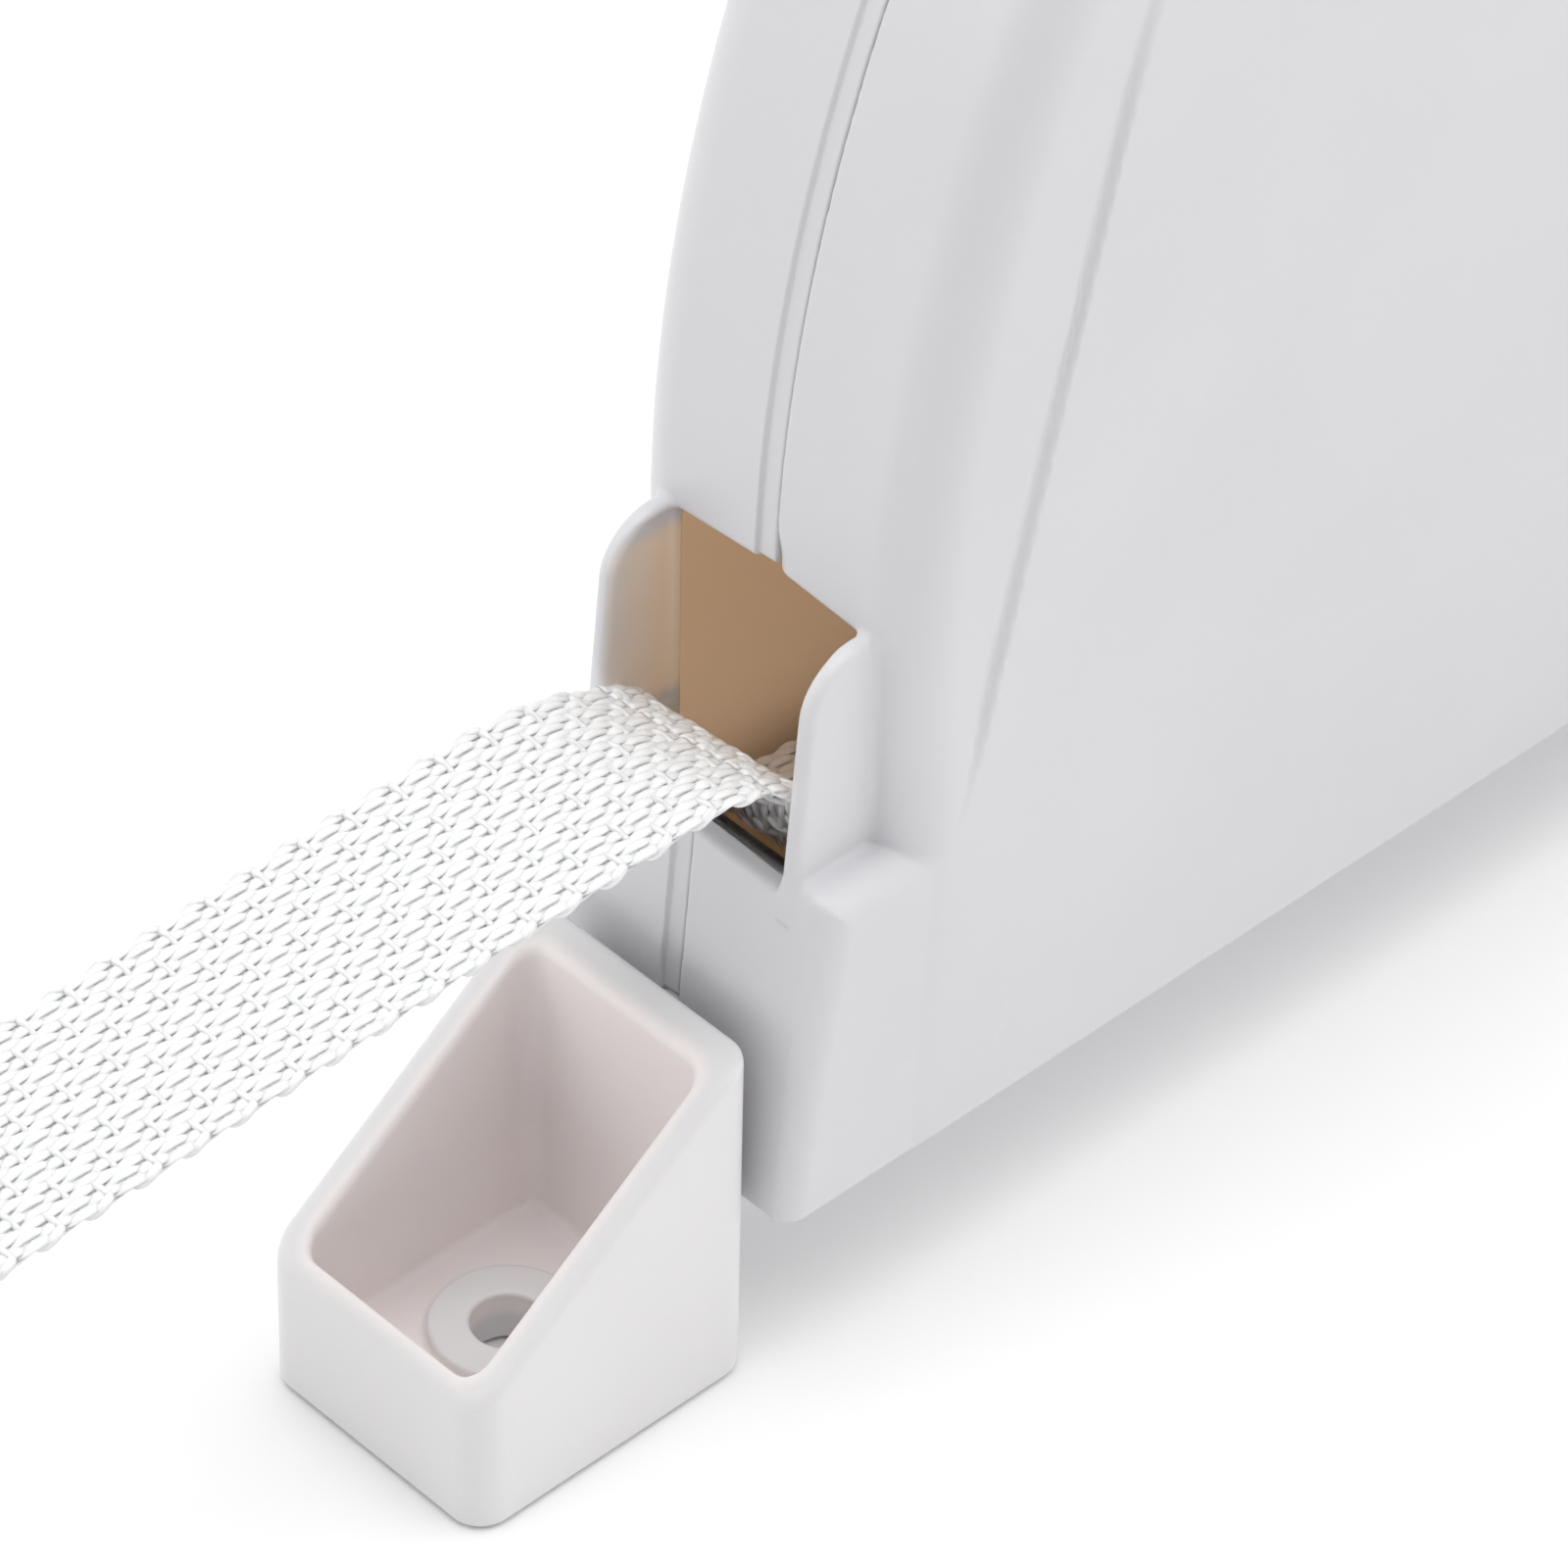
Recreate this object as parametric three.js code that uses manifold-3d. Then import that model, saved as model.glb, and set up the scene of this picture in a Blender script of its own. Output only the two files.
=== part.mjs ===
// Retractable clothesline: a spring reel in a two-part plastic housing that swivels between two
// screw feet, with a flat webbing line, a guide pin and an end ring.
// Millimetres. X across the housing, -Y towards the line's exit, +Z away from the wall it is
// screwed to. The origin is on the wall plane, midway between the feet.

import * as THREE from "three";
import { mergeVertices } from "three/addons/utils/BufferGeometryUtils.js";
import Module from "manifold-3d";

const wasm = await Module();
wasm.setup();

// ---- driving dimensions -------------------------------------------------------------------
const GAP = 0.3;                  // clearance between touching pieces

const HALF_WIDTH = 16.4;          // housing, across
const SEAM_X = 0.7;               // parting plane of the two shells
const SIDE_WALL = 2.6;
const WALL = 2.3;                 // front, top and bottom walls
const BASE_Z = 15;                // underside of the housing
const BLOCK_FOOT = 82.5;          // lower block: half length where its slope meets Z = 0
const BLOCK_LEAN = 0.084;         // lower block: lean per millimetre of height
const LEDGE_Z = 47.5;             // top of the lower block
const WALL_Y = 70.6;              // recessed end wall, at its most upright point
const WALL_Z = 65;                // height of that point
const WALL_R = 135;               // its arc
const DOME_R = 65;                // crown of the housing
const DOME_ANGLE = Math.acos((WALL_R - WALL_Y) / (WALL_R - DOME_R));
const DRUM_Z = WALL_Z + (WALL_R - DOME_R) * Math.sin(DOME_ANGLE);
const STRIP_WIDTH = 1.9;          // sunk strip beside the seam
const STRIP_DEPTH = 0.4;

const LIP_Z = 46.4;               // slot: lower lip
const SLOT_TOP = 67.4;
const SLOT_HALF = 10.4;
const CHEEK_OUT = 12.0;           // outer face of the fins beside the slot
const CHEEK_R = 5;

const FOOT_HALF = 12.6;
const FOOT_BACK = 82.3;
const FOOT_FRONT = 111.6;
const FOOT_LOW = 12.9;            // rim height at the outer end
const FOOT_HIGH = 33.3;           // rim height beside the housing
const FOOT_FLOOR = 3.6;
const FOOT_SIDE_WALL = 2.7;
const FOOT_END_WALL = 1.9;
const FOOT_BACK_WALL = 3.3;
const HOLE_Y = 97.1;
const HOLE_R = 3;
const BOSS_R = 6.4;
const BOSS_TOP = 5.0;

const PIVOT_Z = 25;
const PIVOT_R = 4;
const PIVOT_BORE = 4.05;
const PIVOT_HEAD_R = 5.5;
const PIVOT_BOSS_R = 8;
const PIVOT_BOSS_END = 76.4;      // inner face of the bearing boss

const AXLE_R = 4;
const AXLE_HALF = 15.0;
const AXLE_SQUARE = 5.4;
const AXLE_SLOT = 1.4;
const BUSH_BORE = 4.06;
const BUSH_R = 6;
const HUB_IN = 20.5;
const HUB_OUT = 24;
const FLANGE_R = 53;
const FLANGE_IN = 10.5;
const FLANGE_OUT = 11.9;

const LINE_HALF = 10;             // webbing 20 wide
const LINE_THICK = 1.3;
const ROLL_IN = 24.3;
const ROLL_OUT = 49.9;

const PIN_Y = -74.3;
const PIN_Z = 41.2;
const PIN_R = 2;
const PIN_HALF = 15;

const POST_R = 3.7;
const SCREW_R = 1.4;
const SCREW_HOLE = 1.7;
const SCREW_HEAD_R = 2.9;
const SCREW_SINK = 3.2;
const SCREW_SEAT = -9;            // X of the face under each head
const POST_ORBIT = 58.2;
const POSTS = [
  [-62, 25],
  [0, 23],
  [62, 25],
  [-POST_ORBIT * Math.SQRT1_2, DRUM_Z + POST_ORBIT * Math.SQRT1_2],
  [POST_ORBIT * Math.SQRT1_2, DRUM_Z + POST_ORBIT * Math.SQRT1_2],
];

// The webbing's middle line, side on, as (Y, Z).
const INNER_RUN = [
  [0, DRUM_Z - ROLL_OUT - 1.1],
  [-22, 38.6],
  [-48, 36.2],
  [-62, 36.2],
  [-68.6, 38.6],
  [-71.4, 43],
  [-72.8, 48],
  [-74.4, 52.6],
  [-76.4, 55.4],
  [-78.2, 56.6],
];
const FREE_RUN = [
  [-78.6, 56.75],
  [-81.4, 57.2],
  [-93, 57.1],
  [-140, 55.7],
  [-197, 53.9],
];
const EYE = [-200.2, 53.2];       // centre of the sewn eye
const EYE_IN = 2.1;
const EYE_OUT = 3.4;
const SEWN_START = -178;          // the folded end is sewn from here to the eye
const RING_WIRE = 1.6;
const RING_R = 12.5;

// ---- materials ----------------------------------------------------------------------------
const whitePlastic = () => new THREE.MeshStandardMaterial({ color: 0xdcdce0, roughness: 0.42 });
const greyPlastic = () => new THREE.MeshStandardMaterial({ color: 0xb9bcc0, roughness: 0.5 });
const nylon = () => new THREE.MeshStandardMaterial({ color: 0xe9e4d6, roughness: 0.45 });
const steel = () => new THREE.MeshStandardMaterial({ color: 0xb4b6ba, roughness: 0.22, metalness: 1 });
const springSteel = () => new THREE.MeshStandardMaterial({ color: 0x565a61, roughness: 0.38, metalness: 1 });
const webbing = () => new THREE.MeshStandardMaterial({ color: 0xf1f1ee, roughness: 0.6 });

// ---- solids -------------------------------------------------------------------------------
function solid(geometry) {
  const bare = geometry.clone();
  bare.deleteAttribute("normal");
  bare.deleteAttribute("uv");
  const merged = mergeVertices(bare, 1e-4);
  return new wasm.Manifold(new wasm.Mesh({
    numProp: 3,
    vertProperties: new Float32Array(merged.attributes.position.array),
    triVerts: new Uint32Array(merged.index.array),
  }));
}

function geometryOf(body) {
  const mesh = body.getMesh();
  const geometry = new THREE.BufferGeometry();
  geometry.setAttribute("position", new THREE.BufferAttribute(mesh.vertProperties, 3));
  geometry.setIndex(new THREE.BufferAttribute(mesh.triVerts, 1));
  geometry.computeVertexNormals();
  return geometry;
}

// A side-on outline of (Y, Z) points, extruded from X = x0 to x1.
function sideExtrude(points, x0, x1) {
  const shape = new THREE.Shape(points.map(([y, z]) => new THREE.Vector2(y, z)));
  const geometry = new THREE.ExtrudeGeometry(shape, { depth: x1 - x0, bevelEnabled: false });
  const yzx = new THREE.Matrix4().makeBasis(
    new THREE.Vector3(0, 1, 0),
    new THREE.Vector3(0, 0, 1),
    new THREE.Vector3(1, 0, 0),
  );
  geometry.applyMatrix4(yzx);
  geometry.translate(x0, 0, 0);
  return solid(geometry);
}

function box(x0, x1, y0, y1, z0, z1) {
  const geometry = new THREE.BoxGeometry(x1 - x0, y1 - y0, z1 - z0);
  geometry.translate((x0 + x1) / 2, (y0 + y1) / 2, (z0 + z1) / 2);
  return solid(geometry);
}

function rodX(radius, x0, x1, y, z, sides = 32) {
  const geometry = new THREE.CylinderGeometry(radius, radius, x1 - x0, sides);
  geometry.rotateZ(Math.PI / 2);
  geometry.translate((x0 + x1) / 2, y, z);
  return solid(geometry);
}

function rodY(radius, y0, y1, x, z, sides = 32) {
  const geometry = new THREE.CylinderGeometry(radius, radius, y1 - y0, sides);
  geometry.translate(x, (y0 + y1) / 2, z);
  return solid(geometry);
}

function rodZ(radius, z0, z1, x, y, sides = 32) {
  const geometry = new THREE.CylinderGeometry(radius, radius, z1 - z0, sides);
  geometry.rotateX(Math.PI / 2);
  geometry.translate(x, y, (z0 + z1) / 2);
  return solid(geometry);
}

function tubeX(inner, outer, x0, x1, y, z, sides) {
  return rodX(outer, x0, x1, y, z, sides).subtract(rodX(inner, x0 - 1, x1 + 1, y, z, sides));
}

// A rod square to the drum's axis, from radius r0 to r1, in the direction of the angle.
function spoke(radius, r0, r1, angle, x) {
  const geometry = new THREE.CylinderGeometry(radius, radius, r1 - r0, 16);
  geometry.translate(0, (r0 + r1) / 2, 0);
  geometry.rotateX(angle);
  geometry.translate(x, 0, DRUM_Z);
  return solid(geometry);
}

function arc(cy, cz, radius, from, to, steps) {
  const points = [];
  for (let i = 0; i <= steps; i++) {
    const angle = from + (to - from) * i / steps;
    points.push([cy + radius * Math.cos(angle), cz + radius * Math.sin(angle)]);
  }
  return points;
}

const blockY = (z) => BLOCK_FOOT - BLOCK_LEAN * z;

// Outline of the housing, side on, moved inwards by inset.
function housingOutline(inset) {
  const half = [
    [blockY(BASE_Z) - inset, BASE_Z + inset],
    [blockY(LEDGE_Z) - inset, LEDGE_Z - inset],
    [WALL_Y - inset, LEDGE_Z - inset],
    ...arc(WALL_Y - WALL_R, WALL_Z, WALL_R - inset, 0, DOME_ANGLE, 8),
    ...arc(0, DRUM_Z, DOME_R - inset, DOME_ANGLE, Math.PI / 2, 16).slice(1),
  ];
  const mirrored = half.slice(0, -1).reverse().map(([y, z]) => [-y, z]);
  return [...half, ...mirrored];
}

function ribbonOutline(route, thickness) {
  const near = [];
  const far = [];
  route.forEach(([y, z], i) => {
    const [ya, za] = route[Math.max(i - 1, 0)];
    const [yb, zb] = route[Math.min(i + 1, route.length - 1)];
    const length = Math.hypot(yb - ya, zb - za);
    const shiftY = -(zb - za) / length * thickness / 2;
    const shiftZ = (yb - ya) / length * thickness / 2;
    near.push([y + shiftY, z + shiftZ]);
    far.push([y - shiftY, z - shiftZ]);
  });
  return [...near, ...far.reverse()];
}

// ---- housing ------------------------------------------------------------------------------
function cheek(x0, x1) {
  const top = SLOT_TOP;
  const corner = top - CHEEK_R;
  const frontY = -blockY(corner);
  return sideExtrude([
    [-WALL_Y + 1, LIP_Z - 1],
    [-WALL_Y + 1, top],
    ...arc(frontY + CHEEK_R, corner, CHEEK_R, Math.PI / 2, Math.PI, 6),
    [-blockY(LIP_Z - 1), LIP_Z - 1],
  ], x0, x1);
}

// One shell: side is -1 for the left one and +1 for the right one.
function shell(side) {
  const inner = SEAM_X + side * GAP / 2;
  const outer = side * HALF_WIDTH;
  const reach = side * (HALF_WIDTH - SIDE_WALL);
  const span = (a, b) => [Math.min(a, b), Math.max(a, b)];

  let body = sideExtrude(housingOutline(0), ...span(inner, outer));
  body = body.subtract(sideExtrude(housingOutline(WALL), ...span(inner - side, reach)));

  // fins beside the slot, and the slot itself
  body = body.add(cheek(...span(side * SLOT_HALF, side * CHEEK_OUT)));
  body = body.subtract(box(-SLOT_HALF, SLOT_HALF, -90, -WALL_Y + WALL + 0.1, LIP_Z, SLOT_TOP));
  body = body.subtract(box(-SLOT_HALF, SLOT_HALF, -blockY(LIP_Z) + WALL, -66, LIP_Z - 6, SLOT_TOP));

  // swivel bearings in both end walls
  for (const end of [-1, 1]) {
    const [y0, y1] = span(end * PIVOT_BOSS_END, end * (blockY(PIVOT_Z) - 1));
    const halfBoss = rodY(PIVOT_BOSS_R, y0, y1, 0, PIVOT_Z)
      .intersect(box(...span(inner, side * 14), y0 - 1, y1 + 1, BASE_Z, 47));
    body = body.add(halfBoss);
    body = body.subtract(rodY(PIVOT_BORE, ...span(end * 70, end * 90), 0, PIVOT_Z));
  }

  // seat for the arbor, with a square socket
  body = body.add(rodX(8, ...span(side * 13, reach + side), 0, DRUM_Z));
  const socket = AXLE_SQUARE / 2 + GAP;
  body = body.subtract(box(
    ...span(side * 12, side * (AXLE_HALF + GAP)), -socket, socket, DRUM_Z - socket, DRUM_Z + socket));

  // seats for the guide pin
  body = body.add(rodX(4.6, ...span(side * 12.2, reach + side), PIN_Y, PIN_Z, 24)
    .subtract(box(-20, 20, -90, -blockY(PIN_Z) + 0.2, 30, 50)));
  body = body.subtract(rodX(PIN_R + 0.05, ...span(side * 12, side * (PIN_HALF + GAP)), PIN_Y, PIN_Z, 24));

  // screw posts
  for (const [y, z] of POSTS) {
    body = body.add(rodX(POST_R, ...span(inner, reach + side), y, z, 20));
    if (side < 0) {
      body = body.subtract(rodX(SCREW_HOLE, -20, 2, y, z, 16));
      body = body.subtract(rodX(SCREW_SINK, -20, SCREW_SEAT, y, z, 20));
    } else {
      body = body.subtract(rodX(SCREW_HOLE, 0, 9.6, y, z, 16));
    }
  }

  // sunk strip beside the seam, on the left shell only
  if (side < 0) {
    const x0 = SEAM_X - STRIP_WIDTH;
    const band = sideExtrude(housingOutline(-1), x0, 2)
      .subtract(sideExtrude(housingOutline(STRIP_DEPTH), x0 - 1, 3));
    body = body.subtract(band);
  }
  return body;
}

// ---- feet ---------------------------------------------------------------------------------
function frontFoot() {
  const x = FOOT_HALF;
  let body = sideExtrude([
    [-FOOT_FRONT, 0],
    [-FOOT_BACK, 0],
    [-FOOT_BACK, FOOT_HIGH - 1],
    [-FOOT_BACK - 1.5, FOOT_HIGH],
    [-FOOT_FRONT, FOOT_LOW],
  ], -x, x);
  const pocket = box(
    -x + FOOT_SIDE_WALL, x - FOOT_SIDE_WALL,
    -FOOT_FRONT + FOOT_END_WALL, -FOOT_BACK - FOOT_BACK_WALL,
    FOOT_FLOOR, FOOT_HIGH + 5);
  body = body.subtract(pocket);
  body = body.add(rodZ(BOSS_R, FOOT_FLOOR - 1, BOSS_TOP, 0, -HOLE_Y));
  body = body.subtract(rodZ(HOLE_R, -1, BOSS_TOP + 1, 0, -HOLE_Y));

  // swivel stub with its head
  body = body.add(rodY(PIVOT_R, -FOOT_BACK - 1, -PIVOT_BOSS_END + 1, 0, PIVOT_Z));
  body = body.add(rodY(PIVOT_HEAD_R, -PIVOT_BOSS_END + GAP, -PIVOT_BOSS_END + 2.8, 0, PIVOT_Z));
  return body;
}

// ---- reel ---------------------------------------------------------------------------------
function axle() {
  const half = AXLE_SQUARE / 2;
  return rodX(AXLE_R, -12.6, 12.6, 0, DRUM_Z)
    .add(box(-AXLE_HALF, AXLE_HALF, -half, half, DRUM_Z - half, DRUM_Z + half))
    .subtract(box(-8, 8, -AXLE_SLOT / 2, AXLE_SLOT / 2, DRUM_Z - 1, DRUM_Z + 6));
}

const COVER_SCREW_ORBIT = HUB_IN - 2.2;
const COVER_SCREW_ANGLES = [0, 1, 2].map((i) => Math.PI / 2 + i * 2 * Math.PI / 3);
const onDrum = (radius, angle) => [radius * Math.cos(angle), DRUM_Z + radius * Math.sin(angle)];
const ANCHOR_ANGLE = -Math.PI / 3;
const ANCHOR_R = 1.1;
const ANCHOR_ORBIT = 22.7;
const RIVET_ANGLE = 2.4;
const SPRING_TURNS = 5;
const SPRING_THICK = 0.6;
const SPRING_IN = 5.6;            // radius of the innermost turn
const SPRING_OUT = 14.2;

function drum() {
  let body = tubeX(HUB_IN, HUB_OUT, -FLANGE_OUT, FLANGE_IN - GAP, 0, DRUM_Z, 56);
  body = body.add(tubeX(BUSH_R + 0.3, FLANGE_R, -FLANGE_OUT, -FLANGE_IN, 0, DRUM_Z, 56));
  body = body.subtract(rodX(ANCHOR_R + GAP, -9, 20, ...onDrum(ANCHOR_ORBIT + 0.2, ANCHOR_ANGLE), 16));
  body = body.subtract(spoke(1.5, HUB_IN - 3, HUB_OUT + 2, RIVET_ANGLE, 0));
  for (const angle of COVER_SCREW_ANGLES) {
    const [y, z] = onDrum(COVER_SCREW_ORBIT, angle);
    const lug = rodX(3, -FLANGE_OUT + 0.7, FLANGE_IN - GAP, y, z, 16)
      .subtract(rodX(1.3, 2, 20, y, z, 12));
    body = body.add(lug);
  }
  return body;
}

function drumCover() {
  let body = tubeX(BUSH_R + 0.3, FLANGE_R, FLANGE_IN, FLANGE_OUT, 0, DRUM_Z, 56);
  for (const angle of COVER_SCREW_ANGLES) {
    body = body.subtract(rodX(1.5, 5, 20, ...onDrum(COVER_SCREW_ORBIT, angle), 12));
  }
  return body;
}

function coverScrew(angle) {
  const [y, z] = onDrum(COVER_SCREW_ORBIT, angle);
  const head = rodX(2.1, FLANGE_OUT + 0.05, FLANGE_OUT + 0.75, y, z, 12);
  return head.add(rodX(1.0, 4, FLANGE_OUT + 0.3, y, z, 12));
}

// The inner end stands in the arbor's slot, and the strip winds outwards from there.
function mainspring() {
  const route = [[0, DRUM_Z + 1.2], [0, DRUM_Z + 4.6]];
  const steps = SPRING_TURNS * 20;
  for (let i = 0; i <= steps; i++) {
    const angle = Math.PI / 2 + 0.5 + i / steps * SPRING_TURNS * 2 * Math.PI;
    route.push(onDrum(SPRING_IN + (SPRING_OUT - SPRING_IN) * i / steps, angle));
  }
  return sideExtrude(ribbonOutline(route, SPRING_THICK), -7, 7);
}

function springRivet() {
  return spoke(1.2, 15.0, HUB_OUT - 0.3, RIVET_ANGLE, 0)
    .add(spoke(2.2, HUB_IN - 1.7, HUB_IN - 0.5, RIVET_ANGLE, 0));
}

function caseScrew([y, z]) {
  const headStart = SCREW_SEAT - 2;
  const cross = box(headStart - 1, headStart + 1, y - 1.7, y + 1.7, z - 0.35, z + 0.35)
    .add(box(headStart - 1, headStart + 1, y - 0.35, y + 0.35, z - 1.7, z + 1.7));
  return rodX(SCREW_HEAD_R, headStart, SCREW_SEAT - 0.05, y, z, 20)
    .add(rodX(SCREW_R, SCREW_SEAT - 0.5, 9, y, z, 14))
    .subtract(cross);
}

// ---- line ---------------------------------------------------------------------------------
function lineRoll() {
  return tubeX(ROLL_IN, ROLL_OUT, -LINE_HALF, LINE_HALF, 0, DRUM_Z, 56);
}

// The free stretch, its end folded back under itself round an eye.
function lineFree() {
  let body = sideExtrude(ribbonOutline(FREE_RUN, LINE_THICK), -LINE_HALF, LINE_HALF);
  const [[y0, z0], [y1, z1]] = FREE_RUN.slice(-2);
  const slope = (z1 - z0) / (y1 - y0);
  const under = [SEWN_START, SEWN_START - 20].map((y) => [y, z0 + slope * (y - y0) - LINE_THICK]);
  body = body.add(sideExtrude(ribbonOutline(under, LINE_THICK), -LINE_HALF, LINE_HALF));
  body = body.add(rodX(EYE_OUT, -LINE_HALF, LINE_HALF, ...EYE, 28));
  return body.subtract(rodX(EYE_IN, -LINE_HALF - 1, LINE_HALF + 1, ...EYE, 24));
}

function endRing() {
  const torus = new THREE.TorusGeometry(RING_R, RING_WIRE, 10, 40);
  torus.rotateX(Math.PI / 2);
  torus.translate(0, EYE[0], EYE[1]);
  const lower = solid(torus)
    .intersect(box(-20, 20, EYE[0] - 5, EYE[0] + 5, EYE[1] - 20, EYE[1]));
  let body = lower.add(rodX(RING_WIRE, -RING_R, RING_R, ...EYE, 16));
  for (const side of [-1, 1]) {
    const knuckle = new THREE.SphereGeometry(RING_WIRE, 12, 8);
    knuckle.translate(side * RING_R, ...EYE);
    body = body.add(solid(knuckle));
  }
  return body;
}

// ---- assembly -----------------------------------------------------------------------------
const group = new THREE.Group();

function place(name, body, material, parent = group) {
  const mesh = new THREE.Mesh(geometryOf(body), material);
  mesh.name = name;
  parent.add(mesh);
}

place("left_shell", shell(-1), whitePlastic());
place("right_shell", shell(1), whitePlastic());
place("front_foot", frontFoot(), whitePlastic());
const rearEnd = new THREE.Group();
rearEnd.rotation.z = Math.PI;
group.add(rearEnd);
place("rear_foot", frontFoot(), whitePlastic(), rearEnd);

place("axle", axle(), steel());
place("drum", drum(), greyPlastic());
place("drum_cover", drumCover(), greyPlastic());
COVER_SCREW_ANGLES.forEach((angle, i) => place(`cover_screw_${i + 1}`, coverScrew(angle), steel()));
place("mainspring", mainspring(), springSteel());
place("spring_rivet", springRivet(), steel());
place("line_anchor_pin", rodX(ANCHOR_R, -8.7, 9.8, ...onDrum(ANCHOR_ORBIT, ANCHOR_ANGLE), 14), steel());
for (const [name, side] of [["left", -1], ["right", 1]]) {
  const [b0, b1] = side < 0 ? [-12.1, -9.2] : [9.2, 12.1];
  place(`bush_${name}`, tubeX(BUSH_BORE, BUSH_R, b0, b1, 0, DRUM_Z, 32), nylon());
  const [w0, w1] = side < 0 ? [-12.7, -12.35] : [12.35, 12.7];
  place(`washer_${name}`, tubeX(AXLE_R + GAP, 7, w0, w1, 0, DRUM_Z, 32), steel());
}
POSTS.forEach((post, i) => place(`case_screw_${i + 1}`, caseScrew(post), steel()));

place("guide_pin", rodX(PIN_R, -PIN_HALF, PIN_HALF, PIN_Y, PIN_Z, 24), steel());
place("line_roll", lineRoll(), webbing());
place("line_inner_run", sideExtrude(ribbonOutline(INNER_RUN, LINE_THICK), -LINE_HALF, LINE_HALF), webbing());
place("line_free", lineFree(), webbing());
place("end_ring", endRing(), steel());

export default group;
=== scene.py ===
"""Retractable clothesline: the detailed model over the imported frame.

Lengths in the shape code are millimetres in the frame's axes: X across the housing, -Y towards the
line's exit, +Z away from the wall plane. They become metres where a mesh is made.
"""
import math
import bpy
import numpy as np
from mathutils import Matrix


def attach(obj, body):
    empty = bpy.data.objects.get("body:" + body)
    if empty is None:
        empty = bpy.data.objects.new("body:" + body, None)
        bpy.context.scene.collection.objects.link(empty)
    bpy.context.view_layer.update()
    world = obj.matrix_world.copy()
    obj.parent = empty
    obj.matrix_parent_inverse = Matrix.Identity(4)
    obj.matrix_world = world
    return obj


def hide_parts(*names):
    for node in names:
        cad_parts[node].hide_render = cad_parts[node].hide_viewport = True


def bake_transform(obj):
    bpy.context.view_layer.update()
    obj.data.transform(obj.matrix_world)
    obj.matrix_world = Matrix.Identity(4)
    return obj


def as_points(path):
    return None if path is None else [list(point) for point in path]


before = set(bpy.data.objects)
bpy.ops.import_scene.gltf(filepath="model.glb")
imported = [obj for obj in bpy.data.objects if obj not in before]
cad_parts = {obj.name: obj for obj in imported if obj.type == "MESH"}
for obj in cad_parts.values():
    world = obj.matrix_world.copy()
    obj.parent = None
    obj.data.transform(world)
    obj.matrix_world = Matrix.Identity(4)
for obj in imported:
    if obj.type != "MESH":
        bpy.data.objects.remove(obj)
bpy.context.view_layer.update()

MM = 0.001
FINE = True

# ---- dimensions shared with the CAD ---------------------------------------------------------
SEAM_X = 0.7
SEAM_GAP = 0.3
SIDE_WALL = 2.6
WALL = 2.3
BASE_Z = 15.0
BLOCK_FOOT = 82.5
BLOCK_LEAN = 0.084
LEDGE_Z = 47.5
WALL_Y = 70.6
WALL_Z = 65.0
WALL_R = 135.0
DOME_R = 65.0
DOME_ANGLE = math.acos((WALL_R - WALL_Y) / (WALL_R - DOME_R))
DRUM_Z = WALL_Z + (WALL_R - DOME_R) * math.sin(DOME_ANGLE)
LIP_Z = 46.4
SLOT_TOP = 67.4
SLOT_HALF = 10.2
CHEEK_OUT = 12.0
CHEEK_R = 5.0
FOOT_HALF = 12.6
FOOT_BACK = 82.3
FOOT_FRONT = 111.6
FOOT_FLOOR = 3.6
FOOT_SIDE_WALL = 2.75
FOOT_BACK_WALL = 3.3
FOOT_FRONT_WALL = 1.9
FOOT_TOP = 33.2
FOOT_SLOPE = 0.737               # rise of the sloping top, which passes through the next point
FOOT_SLOPE_AT = (108.3, 15.2)
HOLE_Y = 97.1
HOLE_R = 3.0
BOSS_R = 6.4
BOSS_TOP = 5.0
PIVOT_Z = 25.0
PIVOT_R = 4.0
PIVOT_BORE = 4.05
PIVOT_HEAD_R = 5.5
PIVOT_HEAD_START = 73.6
PIVOT_BOSS_R = 8.0
PIVOT_BOSS_END = 76.4
PIVOT_BOSS_OUT = 78.8            # just inside the block face
PIN_Y = -74.3
PIN_Z = 41.2
PIN_R = 2.0
PIN_HALF = 15.0
POST_R = 3.7                     # the pillars that the case screws run in
SCREW_HOLE = 1.7
SCREW_SINK = 3.2
SCREW_SEAT = -9.0
SEAT_R = 8.0                     # round pads that hold the arbor
SEAT_FROM = 13.0
ARBOR_HALF = 3.0                 # half the arbor's square end
SHELL_INSIDE = 15.0              # buried in the side wall
POST_ORBIT = 58.2
ROLL_IN = 24.3
ROLL_OUT = 49.9
LINE_HALF = 10.0
LINE_THICK = 1.3
INNER_RUN = [
    (0, DRUM_Z - ROLL_OUT - 1.1),
    (-22, 38.6),
    (-48, 36.2),
    (-62, 36.2),
    (-68.6, 38.6),
    (-71.4, 43),
    (-72.8, 48),
    (-74.4, 52.6),
    (-76.4, 55.4),
    (-78.2, 56.6),
]
FREE_RUN = [(-78.6, 56.75), (-81.4, 57.2), (-93, 57.1), (-140, 55.7), (-197, 53.9)]
EYE = (-200.2, 53.2)
SEWN_START = -178.0
STITCH_ROWS = (-181.5, -191.0)
STITCH_HALF = 7.6
THREAD_HALF = 0.19
RING_BAR = 11.0                  # half the straight bar, the bend at its ends, the wire
RING_BEND = 1.5
RING_WIRE = 1.6

POST_DIAGONAL = POST_ORBIT * math.sqrt(0.5)
POSTS = [
    (-62, 25),
    (0, 23),
    (62, 25),
    (-POST_DIAGONAL, DRUM_Z + POST_DIAGONAL),
    (POST_DIAGONAL, DRUM_Z + POST_DIAGONAL),
]

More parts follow.
